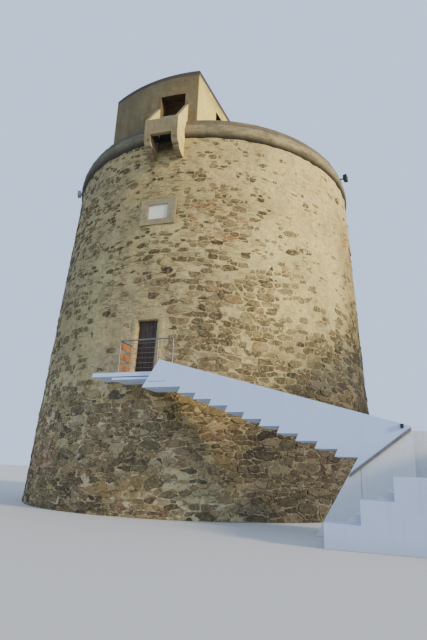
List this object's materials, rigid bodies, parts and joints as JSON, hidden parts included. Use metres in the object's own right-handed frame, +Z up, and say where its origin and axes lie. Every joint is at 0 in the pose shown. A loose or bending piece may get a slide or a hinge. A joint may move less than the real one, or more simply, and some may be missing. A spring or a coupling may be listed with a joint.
{
  "type": "watchtower",
  "caption": "Round stone watchtower with a battered wall, an upper door reached by a folded concrete stair, a parapet band, a terrace guardhouse and a lookout box on corbels.",
  "frame": {"origin": "On the tower's axis, at the lowest ground, under the middle of its round base.", "axes": "+X runs along the outside stair to its lower end, +Y points away from the door to the tower's rear, +Z is up."},
  "size_m": [16.4, 16.05, 15.8604],
  "materials": {
    "tower_stone": "rough",
    "floor_stone": "rough",
    "band_render": "rough",
    "lookout_render": "rough",
    "corbel_stone": "rough",
    "plaque_stone": "smooth",
    "teal_glass": "smooth",
    "stair_concrete": "smooth",
    "rail_metal": "satin",
    "door_wood": "matte",
    "lamp_metal": "satin",
    "board_paint": "painted",
    "light_housing": "matte"
  },
  "bodies": {
    "tower": {"tower_base": "tower_stone", "wall_front_left": "tower_stone", "wall_front_right": "tower_stone", "wall_over_door": "tower_stone", "wall_right": "tower_stone", "wall_rear_right": "tower_stone", "wall_rear_left": "tower_stone", "wall_left": "tower_stone", "upper_tower": "tower_stone", "chamber_floor": "floor_stone", "terrace_paving": "floor_stone", "parapet_front_left": "band_render", "parapet_front_right": "band_render", "parapet_right": "band_render", "parapet_rear": "band_render", "parapet_left": "band_render", "guardhouse_front": "lookout_render", "guardhouse_left": "lookout_render", "guardhouse_right": "lookout_render", "guardhouse_rear": "lookout_render", "guardhouse_roof": "lookout_render", "lookout_front": "lookout_render", "lookout_cheeks": "lookout_render", "plaque_frame": "lookout_render", "corbels": "corbel_stone", "plaque": "plaque_stone", "lookout_pane": "teal_glass", "landing_slab": "stair_concrete", "upper_flight": "stair_concrete", "stair_parapet": "stair_concrete", "spine_wall": "stair_concrete", "lower_flight": "stair_concrete", "half_landing": "stair_concrete", "half_landing_parapet": "stair_concrete", "seat_block_1": "stair_concrete", "seat_block_2": "stair_concrete", "seat_block_3": "stair_concrete", "stair_rail": "rail_metal", "landing_railing": "rail_metal", "end_railing": "rail_metal", "door_frame": "door_wood", "flood_lamps": "lamp_metal", "barrier_boards": "board_paint", "wall_light": "light_housing"},
    "door": {"entrance_door": "door_wood"}
  },
  "joints": [
    {"name": "door_hinge", "type": "hinge", "parent": "tower", "child": "door", "pos_m": [-0.04, -6.1889, 3.89], "axis": [0, 0, 1], "range_deg": [0, 90]}
  ]
}
